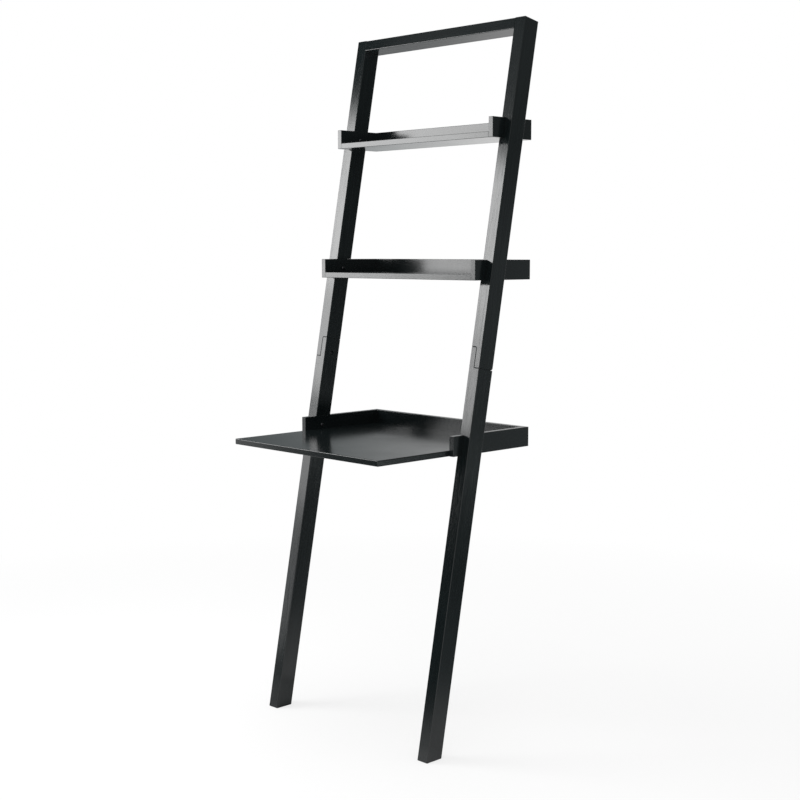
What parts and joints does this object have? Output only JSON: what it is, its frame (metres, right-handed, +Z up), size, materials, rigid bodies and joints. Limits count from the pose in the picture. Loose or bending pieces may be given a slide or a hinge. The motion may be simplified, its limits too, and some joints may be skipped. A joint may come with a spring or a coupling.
{
  "type": "ladder desk",
  "caption": "Leaning ladder desk: two lap-jointed rails that lean on a wall carry a writing desk and two shallow tray shelves, with a crossbar at the top.",
  "frame": {"origin": "centre of the bounding box on the floor: midway between the rails, and midway between the wall plane and the front edge of the desk", "axes": "+Z up, +Y towards the wall that the desk leans on, +X to the right of a person who faces the wall"},
  "size_m": [0.63, 0.538, 1.8797],
  "materials": {
    "painted_rails": "satin black paint over solid wood, eased edges",
    "painted_panels": "satin-gloss black paint over board, eased edges",
    "black_steel": "black-finished steel, satin",
    "zinc_insert": "zinc-plated, unpolished",
    "beech_dowel": "bare beech, fluted dowel stock"
  },
  "bodies": {
    "root": {"upper_left_rail": "painted_rails", "upper_right_rail": "painted_rails", "lower_left_rail": "painted_rails", "lower_right_rail": "painted_rails", "top_crossbar": "painted_rails", "top_shelf_board": "painted_panels", "top_shelf_left_side": "painted_panels", "top_shelf_right_side": "painted_panels", "top_shelf_back": "painted_panels", "middle_shelf_board": "painted_panels", "middle_shelf_left_side": "painted_panels", "middle_shelf_right_side": "painted_panels", "middle_shelf_back": "painted_panels", "desk_board": "painted_panels", "desk_left_side": "painted_panels", "desk_right_side": "painted_panels", "desk_back": "painted_panels", "crossbar_dowels": "beech_dowel", "rail_joint_dowels": "beech_dowel", "top_shelf_dowels": "beech_dowel", "middle_shelf_dowels": "beech_dowel", "desk_dowels": "beech_dowel", "rail_joint_inserts": "zinc_insert", "top_shelf_inserts": "zinc_insert", "middle_shelf_inserts": "zinc_insert", "desk_inserts": "zinc_insert", "rail_joint_bolts": "black_steel", "top_shelf_bolts": "black_steel", "middle_shelf_bolts": "black_steel", "desk_bolts": "black_steel"}
  },
  "joints": []
}
